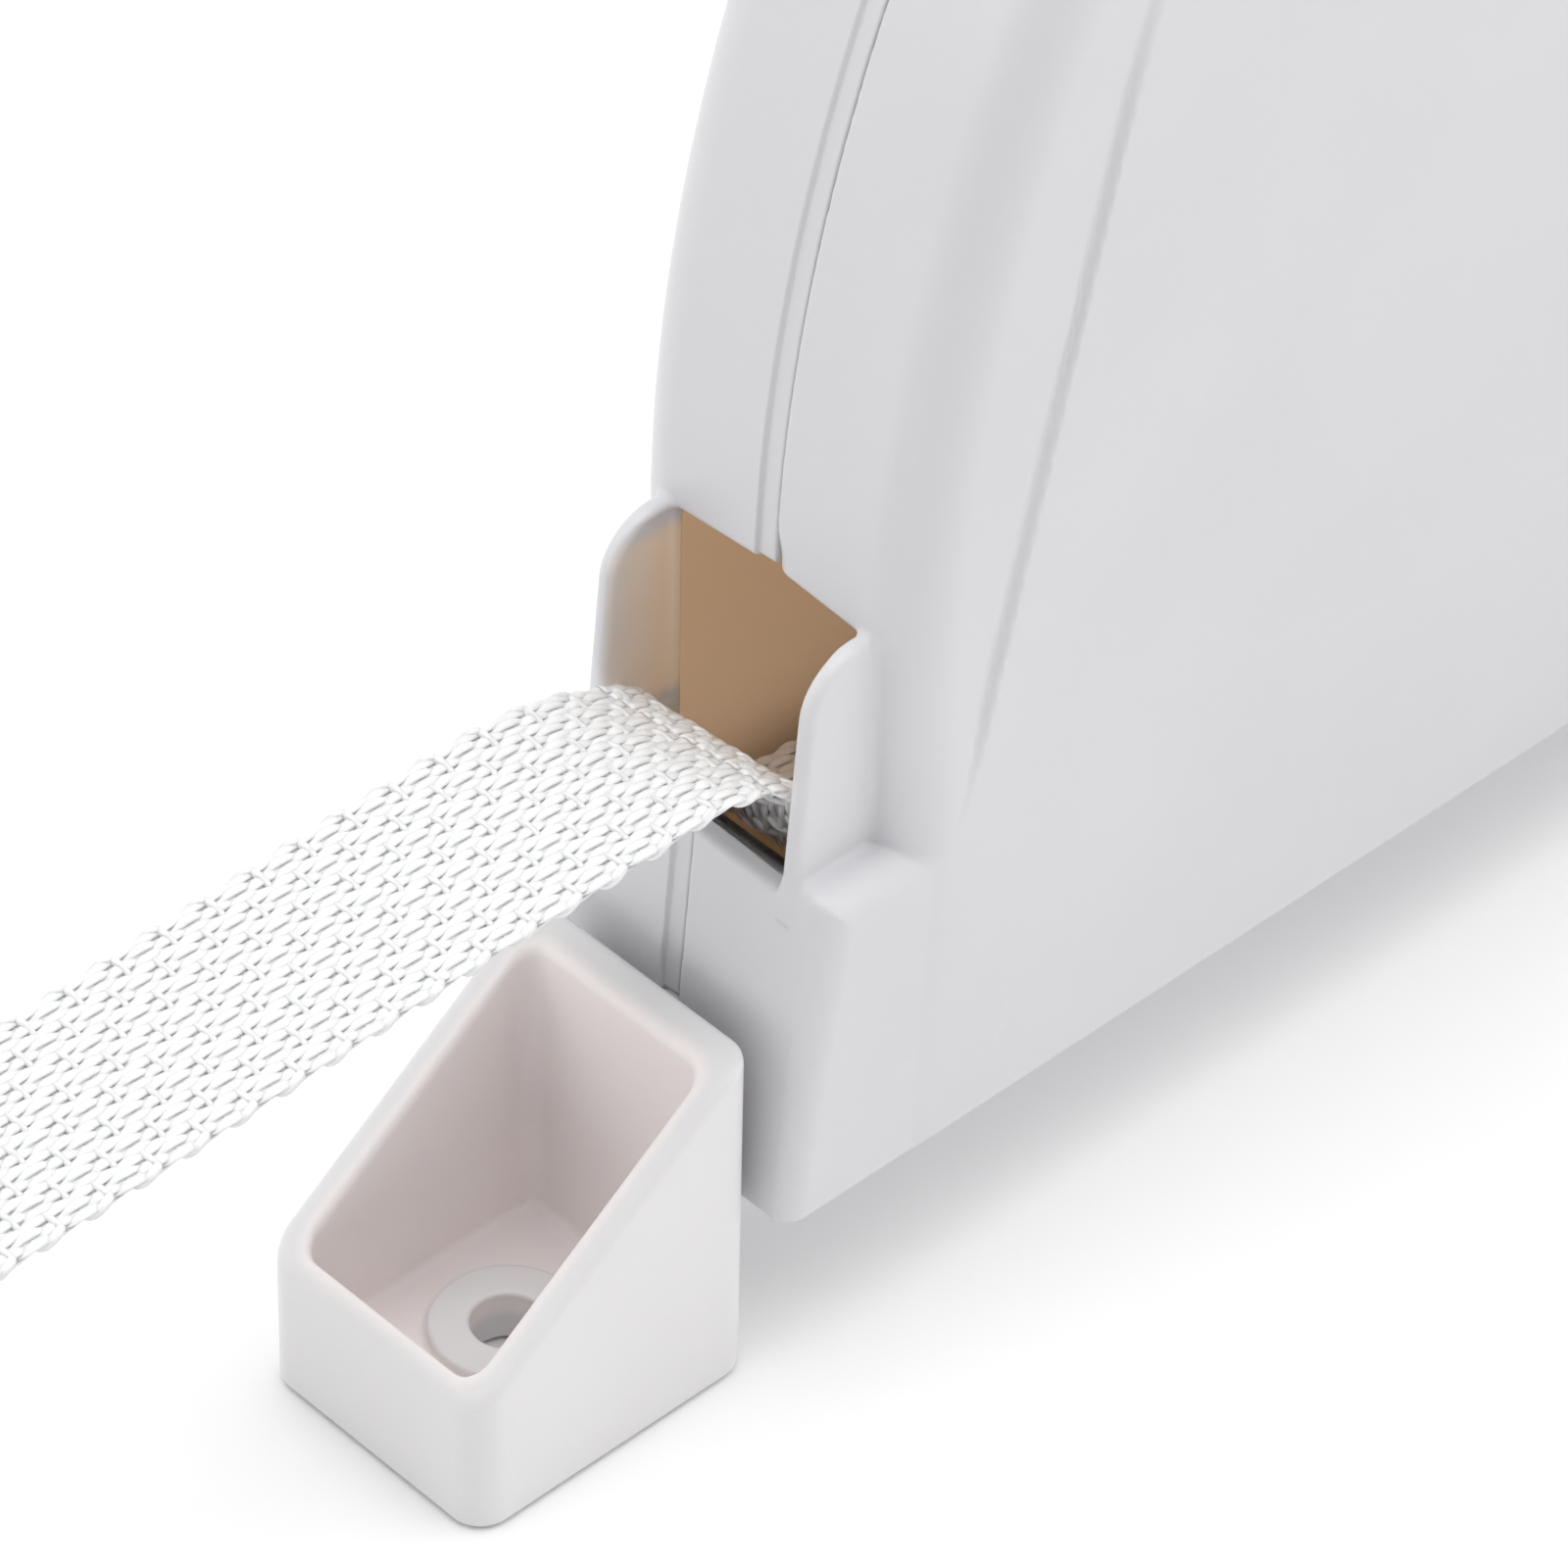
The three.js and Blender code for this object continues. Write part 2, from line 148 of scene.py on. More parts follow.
# ---- camera ---------------------------------------------------------------------------------
CAMERA_AZIMUTH = 45.745
CAMERA_ELEVATION = 41.651
CAMERA_ROLL = 1.368
CAMERA_DISTANCE = 726.5
CAMERA_TARGET = (-3.31, -64.93, 40.0)
CAMERA_LENS = 213.4
CAMERA_SENSOR = 36.0


def make_camera():
    az = math.radians(CAMERA_AZIMUTH)
    el = math.radians(CAMERA_ELEVATION)
    roll = math.radians(CAMERA_ROLL)
    forward = np.array([-math.sin(az) * math.cos(el), math.cos(az) * math.cos(el), -math.sin(el)])
    level = np.array([math.cos(az), math.sin(az), 0.0])
    upright = np.cross(level, forward)
    right = math.cos(roll) * level + math.sin(roll) * upright
    up = -math.sin(roll) * level + math.cos(roll) * upright
    place = (np.array(CAMERA_TARGET) - CAMERA_DISTANCE * forward) * MM
    data = bpy.data.cameras.new("camera")
    data.lens = CAMERA_LENS
    data.sensor_width = CAMERA_SENSOR
    data.clip_start = 0.01
    data.clip_end = 20
    camera = bpy.data.objects.new("camera", data)
    bpy.context.scene.collection.objects.link(camera)
    matrix = np.eye(4)
    matrix[:3, 0] = right
    matrix[:3, 1] = up
    matrix[:3, 2] = -forward
    matrix[:3, 3] = place
    camera.matrix_world = Matrix(matrix.tolist())
    bpy.context.scene.camera = camera


# ---- mesh helpers ---------------------------------------------------------------------------
def add_mesh(name, points, faces, material, normals=None, uv=None):
    """A mesh object from millimetre points; uv is one pair for each point."""
    mesh = bpy.data.meshes.new(name)
    points = np.asarray(points, float) * MM
    faces = np.asarray(faces, int)
    count, size = faces.shape
    mesh.vertices.add(len(points))
    mesh.vertices.foreach_set("co", points.ravel())
    mesh.loops.add(count * size)
    mesh.loops.foreach_set("vertex_index", faces.ravel())
    mesh.polygons.add(count)
    mesh.polygons.foreach_set("loop_start", np.arange(count) * size)
    mesh.polygons.foreach_set("use_smooth", np.ones(count, bool))
    mesh.update(calc_edges=True)
    mesh.validate()
    if uv is not None:
        layer = mesh.uv_layers.new(name="UVMap")
        layer.data.foreach_set("uv", np.asarray(uv, float)[faces.ravel()].ravel())
    if normals is not None:
        mesh.normals_split_custom_set_from_vertices(normals.tolist())
    mesh.materials.append(material)
    piece = bpy.data.objects.new(name, mesh)
    bpy.context.scene.collection.objects.link(piece)
    return piece


def add_attribute(piece, name, values):
    attribute = piece.data.attributes.new(name, "FLOAT", "POINT")
    attribute.data.foreach_set("value", np.asarray(values, np.float32))


def ring_faces(rings, sides, closed=False):
    """Quads between successive rings of points."""
    last = rings if closed else rings - 1
    i, j = np.meshgrid(np.arange(last), np.arange(sides), indexing="ij")
    nxt = (i + 1) % rings
    side = (j + 1) % sides
    quads = np.stack([i * sides + j, i * sides + side, nxt * sides + side, nxt * sides + j], -1)
    return quads.reshape(-1, 4)


class Parts:
    """Gathers several tubes into one mesh."""

    def __init__(self):
        self.points = []
        self.faces = []
        self.uv = []
        self.total = 0

    def add(self, points, faces, uv):
        self.points.append(points)
        self.faces.append(faces + self.total)
        self.uv.append(uv)
        self.total += len(points)

    def build(self, name, material):
        points = np.concatenate(self.points)
        faces = np.concatenate(self.faces)
        return add_mesh(name, points, faces, material, uv=np.concatenate(self.uv))


def tube(parts, centre, across, lift, wide, high, sides=10, closed=False):
    """A tube of oval section along centre, pinched shut at open ends."""
    if not closed:
        centre = np.concatenate([centre[:1], centre, centre[-1:]])
        across = np.concatenate([across[:1], across, across[-1:]])
        lift = np.concatenate([lift[:1], lift, lift[-1:]])
    rings = len(centre)
    size = np.ones(rings)
    if not closed:
        size[0] = size[-1] = 0.02
    angle = np.arange(sides) * 2 * np.pi / sides - np.pi / 2
    wide = size * wide
    high = size * high
    points = (
        centre[:, None, :]
        + across[:, None, :] * (wide[:, None] * np.cos(angle))[..., None]
        + lift[:, None, :] * (high[:, None] * np.sin(angle))[..., None]
    )
    step = np.linalg.norm(np.diff(centre, axis=0), axis=1)
    along = np.concatenate([[0], np.cumsum(step)])
    turn = np.arange(sides) / sides
    uv = np.stack(np.broadcast_arrays(turn[None, :], along[:, None]), -1)
    parts.add(points.reshape(-1, 3), ring_faces(rings, sides, closed), uv.reshape(-1, 2))


def unit(vectors):
    return vectors / np.linalg.norm(vectors, axis=-1, keepdims=True)


def frames_along(centre, closed=False):
    """Tangent, and two steady square directions, along a smooth curve."""
    if closed:
        tangent = unit(np.roll(centre, -1, 0) - np.roll(centre, 1, 0))
    else:
        tangent = unit(np.gradient(centre, axis=0))
    side = np.cross(tangent[0], [0.0, 0.0, 1.0])
    if np.linalg.norm(side) < 0.1:
        side = np.cross(tangent[0], [1.0, 0.0, 0.0])
    sides = [unit(side)]
    for t in tangent[1:]:
        s = sides[-1] - t * np.dot(sides[-1], t)
        sides.append(unit(s))
    sides = np.array(sides)
    return tangent, sides, np.cross(tangent, sides)


# ---- webbing --------------------------------------------------------------------------------
PAIR_PITCH = 2.42                # a group is one flat yarn and three that float in turn
PAIRS = 8
PICK = 2.28                      # spacing of the cross yarns
FLAT_HALF = 0.50
FLAT_THICK = 0.20
FLAT_RISE = 0.16
FLOATS = [(-0.24, 0.37, 0), (0.34, 0.42, 1), (0.93, 0.37, 0)]   # place, half width, phase
FLOAT_LIFT = 0.21
FLOAT_THICK = 0.22
WEFT_HALF = 0.32
WEFT_RISE = 0.26
SELVAGE = 9.15                   # where a cross yarn starts to turn back
FREE_FROM = -78.2                # Y where the free stretch begins
SAG_AT = -79.0                   # where the far edge hangs lowest, and by how much
SAG = 2.4
DROOP_AT = -77.5                 # where the line rounds over towards the pin
DROOP = 0.9


def smooth_curve(knots, step):
    """A smooth curve through the knots, resampled evenly, as (Y, Z)."""
    knots = np.asarray(knots, float)
    chord = np.concatenate([[0], np.cumsum(np.linalg.norm(np.diff(knots, axis=0), axis=1))])
    slope = np.gradient(knots, chord, axis=0)
    dense = []
    for i in range(len(knots) - 1):
        h = chord[i + 1] - chord[i]
        t = np.linspace(0, 1, 60, endpoint=False)[:, None]
        dense.append(
            (2 * t**3 - 3 * t**2 + 1) * knots[i]
            + (t**3 - 2 * t**2 + t) * h * slope[i]
            + (3 * t**2 - 2 * t**3) * knots[i + 1]
            + (t**3 - t**2) * h * slope[i + 1]
        )
    dense = np.concatenate(dense + [knots[-1:]])
    along = np.concatenate([[0], np.cumsum(np.linalg.norm(np.diff(dense, axis=0), axis=1))])
    count = int(round(along[-1] / step)) + 1
    even = np.linspace(0, along[-1], count)
    return even, np.stack([np.interp(even, along, dense[:, i]) for i in (0, 1)], -1)


def line_route():
    """The webbing's middle line from the roll to the eye, round the ring's bar and back."""
    y, z = EYE
    mid = (2.1 + 3.4) / 2
    knots = list(INNER_RUN) + list(FREE_RUN[:-1]) + [(-170, 54.75), (-193.0, 53.95)]
    for degrees in (50, 95, 140, 180, 220, 265, 310):
        a = math.radians(degrees)
        knots.append((y + mid * math.cos(a), z + mid * math.sin(a)))
    knots += [(-193.0, 52.4), (-186, 52.75), (SEWN_START, 52.95)]
    return smooth_curve(knots, 0.25)


class Webbing:
    """Places points on the line: s along it, x across it and h above its middle."""

    def __init__(self):
        self.s, route = line_route()
        self.y, self.z = route.T
        tangent = unit(np.gradient(route, axis=0))
        self.ny, self.nz = tangent[:, 1], -tangent[:, 0]

    def at(self, s, x, h):
        y = np.interp(s, self.s, self.y)
        z = np.interp(s, self.s, self.z)
        ny = np.interp(s, self.s, self.ny)
        nz = np.interp(s, self.s, self.nz)
        top = smoothstep(44, 50, z)
        twist = SAG * np.exp(-((y - SAG_AT) / 8.0) ** 2) * (LINE_HALF - x) / (2 * LINE_HALF)
        z = z - top * (twist + DROOP * np.exp(-((y - DROOP_AT) / 4.0) ** 2))
        return np.stack(np.broadcast_arrays(x, y + h * ny, z + h * nz), -1)

    def frame_at(self, s):
        ny = np.interp(s, self.s, self.ny)
        nz = np.interp(s, self.s, self.nz)
        lift = unit(np.stack([0 * ny, ny, nz], -1))
        across = np.tile([1.0, 0.0, 0.0], (len(lift), 1))
        return across, lift

    def where_y(self, y):
        top = self.z > 40
        first = np.argmax((self.y < y) & top)
        return self.s[first]


def wave(theta):
    return np.tanh(1.5 * np.sin(theta)) / math.tanh(1.5)


def weave(webbing, parts, start, finish, step):
    """Groups of lengthwise yarns, the cross yarn that turns at both edges, and a thin core."""
    s = np.arange(start, finish + step / 2, step)
    across, lift = webbing.frame_at(s)
    rng = np.random.default_rng(7)
    for k in range(PAIRS):
        middle = (k - (PAIRS - 1) / 2) * PAIR_PITCH
        drift = 0.04 * np.sin(s * 0.37 + rng.uniform(0, 6))
        drift = drift + 0.03 * np.sin(s * 0.9 + rng.uniform(0, 6))
        pick = 2 * np.pi * s / PICK
        height = FLAT_RISE + 0.07 * np.cos(pick)
        wide = (FLAT_HALF + 0.03 * np.cos(pick))[pad(s)]
        tube(parts, webbing.at(s, middle - 0.92 + drift, height), across, lift, wide, FLAT_THICK, 8)
        for offset, half, turn in FLOATS:
            theta = np.pi * s / PICK + np.pi * (k + turn)
            up = wave(theta)
            x = middle + offset + drift + 0.04 * np.cos(theta)
            wide = (half * (1 + 0.28 * up))[pad(s)]
            tube(parts, webbing.at(s, x, FLOAT_LIFT * up), across, lift, wide, FLOAT_THICK, 8)
    cross_yarn(webbing, parts, start, finish)
    core(webbing, parts, start, finish)


def pad(s):
    """Indices that repeat the first and last ring, as a tube's pinched ends do."""
    return np.concatenate([[0], np.arange(len(s)), [len(s) - 1]])


def cross_yarn(webbing, parts, start, finish):
    """The one yarn that runs from edge to edge, turning back at each."""
    first = int(math.ceil(start / PICK - 0.5))
    last = int(math.floor(finish / PICK - 0.5))
    s_all, x_all, h_all = [], [], []
    zero = -(PAIRS - 1) / 2 * PAIR_PITCH
    for j in range(first, last + 1):
        direction = 1 if j % 2 == 0 else -1
        x = np.linspace(-SELVAGE, SELVAGE, 42) * direction
        s_all.append(np.full(x.shape, (j + 0.5) * PICK))
        x_all.append(x)
        h_all.append(-WEFT_RISE * direction * np.cos(np.pi * (x - zero) / PAIR_PITCH))
        if j < last:
            turn = np.linspace(0, np.pi, 11)[1:-1]
            s_all.append((j + 0.5) * PICK + PICK / 2 * (1 - np.cos(turn)))
            x_all.append(direction * (SELVAGE + 0.50 * np.sin(turn)))
            h_all.append(0.22 * np.sin(2 * turn))
    s, x, h = (np.concatenate(a) for a in (s_all, x_all, h_all))
    centre = webbing.at(s, x, h)
    _, side, lift = frames_along(centre)
    outer = np.clip((np.abs(x) - SELVAGE + 1.2) / 1.2, 0, 1)
    size = (WEFT_HALF + 0.10 * outer)[pad(s)]
    tube(parts, centre, side, lift, size, size * 0.9, 8)


def core(webbing, parts, start, finish):
    """A thin layer in the middle, so that no light shows between the yarns."""
    s = np.arange(start, finish, 0.6)
    across, lift = webbing.frame_at(s)
    for k in range(PAIRS):
        middle = (k - (PAIRS - 1) / 2) * PAIR_PITCH
        tube(parts, webbing.at(s, middle, 0 * s), across, lift, PAIR_PITCH / 2, 0.05, 4)


def make_line(webbing, material):
    """The free stretch and the inner run, and the middle of the free stretch in metres."""
    split = webbing.where_y(FREE_FROM)
    split = round(split / PICK) * PICK
    end = webbing.s[-1]
    free = Parts()
    weave(webbing, free, split, end, 0.33)
    free = free.build("webbing_line", material)
    path_s = np.linspace(split, webbing.where_y(EYE[0] - 2.6), 30)
    path = webbing.at(path_s, 0 * path_s, 0 * path_s) * MM
    inner = Parts()
    weave(webbing, inner, 0.6, split - 0.02, 0.38)
    inner = inner.build("webbing_inner_run", material)
    return free, inner, path


def make_stitches(webbing, material):
    """Two zigzag tacks that hold the folded end."""
    parts = Parts()
    for y_row in STITCH_ROWS:
        s0 = webbing.where_y(y_row)
        xs = np.linspace(-STITCH_HALF, STITCH_HALF, 17)
        for i in range(16):
            x = np.linspace(xs[i], xs[i + 1], 7)
            s = np.linspace(s0, s0 + 3.0, 7)
            if i % 2:
                s = s[::-1]
            h = 0.62 + 0.16 * np.sin(np.linspace(0, np.pi, 7))
            for face in (1, -1):
                depth = h if face > 0 else -h - LINE_THICK - 0.1
                centre = webbing.at(s, x, depth)
                _, side, lift = frames_along(centre)
                tube(parts, centre, side, lift, THREAD_HALF, THREAD_HALF, 6)
    return parts.build("webbing_stitches", material)


def make_roll(material):
    """The wound line, one strip spiralling out from the hub."""
    turns = 19
    angle = np.linspace(0, turns * 2 * np.pi, turns * 64)
    radius = ROLL_IN + 0.65 + (ROLL_OUT - 0.65 - ROLL_IN - 0.65) * angle / angle[-1]
    a = angle - np.pi / 2
    lift = np.stack([0 * a, np.cos(a), np.sin(a)], -1)
    centre = lift * radius[:, None] + np.array([0, 0, DRUM_Z])
    centre[:, 0] = 0.12 * np.sin(angle * 0.31) + 0.08 * np.sin(angle * 1.7)
    across = np.tile([1.0, 0.0, 0.0], (len(a), 1))
    parts = Parts()
    tube(parts, centre, across, lift, LINE_HALF - 0.2, 0.58, 10)
    return parts.build("webbing_roll", material)


def make_ring(material):
    """D-shaped ring: a straight bar through the eye and a half circle below it."""
    y, z = EYE
    bar = np.stack([np.linspace(-RING_BAR, RING_BAR, 24), np.full(24, y), np.full(24, z)], -1)
    corner = np.linspace(0, np.pi / 2, 8)[1:-1]
    out = RING_BAR + RING_BEND * np.sin(corner)
    right = np.stack([out, 0 * corner + y, z - RING_BEND * (1 - np.cos(corner))], -1)
    a = np.linspace(-0.12, -np.pi + 0.12, 60)
    bow = RING_BAR + RING_BEND
    arc = np.stack([bow * np.cos(a), 0 * a + y, z + bow * np.sin(a)], -1)
    left = right[::-1] * [-1, 1, 1]
    centre = np.concatenate([bar, right, arc, left])
    tangent, side, lift = frames_along(centre, closed=True)
    lift = np.tile([0.0, 1.0, 0.0], (len(centre), 1))
    side = unit(np.cross(lift, tangent))
    parts = Parts()
    tube(parts, centre, side, lift, RING_WIRE, RING_WIRE, 20, closed=True)
    return parts.build("steel_end_ring", material)


# ---- signed distances -----------------------------------------------------------------------
# Negative inside. Corners between two shapes are rounded by the radius given.
def both(a, b, r):
    """Where a and b overlap, the outer corner rounded."""
    return np.minimum(np.maximum(a, b), -r) + np.hypot(np.maximum(a + r, 0), np.maximum(b + r, 0))


def either(a, b, r):
    """a and b joined, the inner corner filled."""
    return -both(-a, -b, r)


def without(a, b, r):
    """a with b cut away, the new edge rounded."""
    return both(a, -b, r)


def smoothstep(low, high, value):
    t = np.clip((value - low) / (high - low), 0, 1)
    return t * t * (3 - 2 * t)


def rod(u, v, radius):
    return np.hypot(u, v) - radius


def slab(value, low, high):
    return np.maximum(low - value, value - high)


def end_profile(v, z):
    """Side-on outline of the upper body, v measured outwards from the middle."""
    reach = np.hypot(v - (WALL_Y - WALL_R), z - WALL_Z)
    angle = np.arctan2(z - WALL_Z, v - (WALL_Y - WALL_R))
    arc = reach - WALL_R
    dome = np.hypot(v, z - DRUM_Z) - DOME_R
    upper = np.where(angle < DOME_ANGLE, arc, dome)
    return np.where(z < WALL_Z, v - WALL_Y, upper)


def block_face(v, z):
    return (v - BLOCK_FOOT + BLOCK_LEAN * z) / math.hypot(1, BLOCK_LEAN)


def block_profile(v, z):
    return both(block_face(v, z), z - LEDGE_Z, 1.2)


PANEL_LEAN = 0.237
PANEL_Y = 62.6                   # edge of the raised side panel at PANEL_Z
PANEL_Z = 57.6
PANEL_ROUND = 57.5
PANEL_STEP = 0.5
FULL_HALF = 16.4


def panel_edge(v, z):
    """Distance outside the raised panel on each side face."""
    line = (v - PANEL_Y + PANEL_LEAN * (z - PANEL_Z)) / math.hypot(1, PANEL_LEAN)
    above = np.hypot(v, z - DRUM_Z) - PANEL_ROUND
    below = v - PANEL_ROUND - 0.4 * (DRUM_Z - z)
    crown = np.where(z > DRUM_Z, above, below)
    return both(line, crown, 4.0)


def half_width(z):
    return np.minimum(14.8 + 0.04 * (z - BASE_Z), FULL_HALF)


def band_half_width(v, z):
    """Half width of the upper body, narrower by the panel's step along its rim."""
    edge = panel_edge(v, z)
    crown = smoothstep(108, 124, z)      # the step is softer over the top
    groove = 0.20 * (1 - crown) * np.exp(-((edge - 0.55) / 0.4) ** 2)
    step = PANEL_STEP * smoothstep(-0.3 - 0.7 * crown, 0.45 + 0.9 * crown, edge) + groove
    return half_width(z) - step * smoothstep(47, 62, z)


def outer_field(x, y, z):
    """The housing's outside, both shells together and the slot not yet cut."""
    v = np.abs(y)
    wide = np.abs(x)
    upper = both(end_profile(v, z), wide - band_half_width(v, z), 5.0)
    corner = 2.0 + 0.03 * (z - BASE_Z)
    block = both(block_profile(v, z), wide - half_width(z), corner)
    body = either(upper, block, 0.45)
    body = both(body, BASE_Z - z, 0.25)
    fin = both(block_face(-y, z), z - SLOT_TOP - 0.4, CHEEK_R)
    fin = np.maximum(fin, 44.0 - z)
    fin = both(fin, np.maximum(wide - CHEEK_OUT, SLOT_HALF - 0.05 - wide), 0.85)
    fin = np.maximum(fin, y + 66.0)
    return either(body, fin, 0.7)


def cavity_field(x, y, z):
    v = np.abs(y)
    wide = np.abs(x)
    upper = np.maximum(end_profile(v, z) + WALL, BASE_Z + WALL - z)
    lower = np.maximum(block_profile(v, z) + WALL, BASE_Z + WALL - z)
    side = wide - half_width(z) + SIDE_WALL
    room = both(np.minimum(upper, lower), side, 0.8)
    window = np.maximum(slab(y, -WALL_Y + 1.2, -60.0), slab(z, 40.0, SLOT_TOP - 1.5))
    return np.minimum(room, np.maximum(window, side + 1.2))


def slot_field(x, y, z):
    ridge = np.abs(x - SEAM_X)
    top = z - (SLOT_TOP + 0.4 - 0.07 * ridge)
    sill = (LIP_Z + 0.2 - 0.04 * ridge) - z
    opening = both(np.maximum(top, sill), np.abs(x) - SLOT_HALF, 0.3)
    opening = np.maximum(opening, y + 68.0)
    behind = np.maximum(block_face(-y, z) + 1.7, y + 66.0)
    trough = np.maximum(np.maximum(slab(z, 38.5, SLOT_TOP - 1), behind), np.abs(x) - SLOT_HALF)
    return np.minimum(opening, trough)


def shell_field(side, x, y, z):
    """One shell; side is -1 for the left and +1 for the right."""
    outer = outer_field(x, y, z)
    if side < 0:
        outer = outer + 0.4 * smoothstep(-1.42, -1.08, x)
    v = np.abs(y)
    body = without(outer, cavity_field(x, y, z), 0.3)
    boss = np.maximum(rod(x, z - PIVOT_Z, PIVOT_BOSS_R), slab(v, PIVOT_BOSS_END, PIVOT_BOSS_OUT))
    body = either(body, np.maximum(boss, np.abs(x) - 13.5), 0.3)
    seat = np.maximum(rod(y, z - DRUM_Z, SEAT_R), slab(side * x, SEAT_FROM, SHELL_INSIDE))
    body = either(body, seat, 0.3)
    for py, pz in POSTS:
        post = np.maximum(rod(y - py, z - pz, POST_R), slab(side * x, -2.0, SHELL_INSIDE))
        body = either(body, post, 0.4)
    body = without(body, slot_field(x, y, z), 0.6)
    body = without(body, np.maximum(rod(x, z - PIVOT_Z, PIVOT_BORE), slab(v, 70.0, 95.0)), 0.25)
    square = np.maximum(np.abs(y), np.abs(z - DRUM_Z)) - ARBOR_HALF
    body = without(body, np.maximum(square, slab(side * x, 12.0, 15.3)), 0.1)
    pin = np.maximum(rod(y - PIN_Y, z - PIN_Z, PIN_R + 0.06), np.abs(x) - PIN_HALF - 0.3)
    body = without(body, pin, 0.15)
    for py, pz in POSTS:
        if side < 0:
            body = without(body, np.maximum(rod(y - py, z - pz, SCREW_HOLE), x - 2.0), 0.1)
            sink = np.maximum(rod(y - py, z - pz, SCREW_SINK), x - SCREW_SEAT)
            body = without(body, sink, 0.35)
        else:
            body = without(body, np.maximum(rod(y - py, z - pz, SCREW_HOLE), x - 9.6), 0.1)
    if side > 0:
        notch = smoothstep(5.0, 1.5, np.hypot(y + 70.6, z - SLOT_TOP))
        return both(body, SEAM_X + SEAM_GAP / 2 - x, 0.3 + 1.1 * notch)
    return both(body, x - SEAM_X + SEAM_GAP / 2, 0.22)


def pocket_field(x, y, z):
    """The foot's recess."""
    v = -y
    low = FOOT_BACK + FOOT_BACK_WALL
    high = FOOT_FRONT - FOOT_FRONT_WALL
    wide = np.abs(x) - FOOT_HALF + FOOT_SIDE_WALL
    pocket = both(np.abs(v - (low + high) / 2) - (high - low) / 2, wide, 1.8)
    return both(pocket, FOOT_FLOOR - z, 0.9)


def foot_field(x, y, z):
    """The front foot; the rear one is the same, turned round."""
    v = -y
    wide = np.abs(x)
    middle = (FOOT_BACK + FOOT_FRONT) / 2
    reach = (FOOT_FRONT - FOOT_BACK) / 2
    plan = both(np.abs(v - middle) - reach, wide - FOOT_HALF, 3.0)
    out, up = FOOT_SLOPE_AT
    slope = (z - up - FOOT_SLOPE * (out - v)) / math.hypot(1, FOOT_SLOPE)
    top = both(slope, z - FOOT_TOP, 2.0)
    body = both(both(plan, top, 0.9), -z, 0.3)
    body = without(body, pocket_field(x, y, z), 0.75)
    ring = np.hypot(x, v - HOLE_Y)
    boss = both(ring - BOSS_R, slab(z, 1.0, BOSS_TOP), 0.4)
    body = either(body, boss, 0.5)
    body = without(body, ring - HOLE_R, 0.35)
    stub = np.maximum(rod(x, z - PIVOT_Z, PIVOT_R), slab(v, PIVOT_BOSS_END - 1, FOOT_BACK + 1))
    body = either(body, stub, 0.3)
    neck = slab(v, PIVOT_HEAD_START, PIVOT_BOSS_END - 0.3)
    head = both(rod(x, z - PIVOT_Z, PIVOT_HEAD_R), neck, 0.4)
    return either(body, head, 0.2)


# ---- meshing a signed distance ---------------------------------------------------------------
CORNERS = [(i, j, k) for i in (0, 1) for j in (0, 1) for k in (0, 1)]


def cell_edges():
    """The twelve edges of a cell, as pairs of corners."""
    edges = []
    for a in CORNERS:
        for axis in range(3):
            if a[axis] == 0:
                b = list(a)
                b[axis] = 1
                edges.append((a, tuple(b)))
    return edges


def surface_net(values, axes):
    """One point in each cell that the surface crosses, and a quad round each crossing edge."""
    inside = values < 0
    nx, ny, nz = values.shape
    count = np.zeros((nx - 1, ny - 1, nz - 1), np.int8)
    for i, j, k in CORNERS:
        count += inside[i:nx - 1 + i, j:ny - 1 + j, k:nz - 1 + k]
    cells = np.argwhere((count > 0) & (count < 8))
    index = np.full(count.shape, -1, np.int32)
    index[tuple(cells.T)] = np.arange(len(cells))
    total = np.zeros((len(cells), 3))
    hits = np.zeros(len(cells))
    for a, b in cell_edges():
        at_a = tuple((cells + a).T)
        at_b = tuple((cells + b).T)
        va, vb = values[at_a], values[at_b]
        cross = (va < 0) != (vb < 0)
        t = np.where(cross, va / np.where(cross, va - vb, 1), 0)
        for d in range(3):
            pa, pb = axes[d][at_a[d]], axes[d][at_b[d]]
            total[:, d] += np.where(cross, pa + (pb - pa) * t, 0)
        hits += cross
    points = total / hits[:, None]
    return points, net_faces(inside, index)


def net_faces(inside, index):
    faces = []
    for axis in range(3):
        u, w = (axis + 1) % 3, (axis + 2) % 3
        low = [slice(1, -1)] * 3
        high = [slice(1, -1)] * 3
        low[axis] = slice(0, -1)
        high[axis] = slice(1, None)
        here, there = inside[tuple(low)], inside[tuple(high)]
        for start, flip in ((here & ~there, False), (~here & there, True)):
            at = np.argwhere(start)
            at[:, u] += 1
            at[:, w] += 1
            quad = []
            for du, dw in ((-1, -1), (0, -1), (0, 0), (-1, 0)):
                cell = at.copy()
                cell[:, u] += du
                cell[:, w] += dw
                quad.append(index[tuple(cell.T)])
            quad = np.stack(quad, -1)
            faces.append(quad[:, ::-1] if flip else quad)
    return np.concatenate(faces)


def gradient(field, points, step):
    x, y, z = points.T
    return np.stack([
        field(x + step, y, z) - field(x - step, y, z),
        field(x, y + step, z) - field(x, y - step, z),
        field(x, y, z + step) - field(x, y, z - step),
    ], -1) / (2 * step)


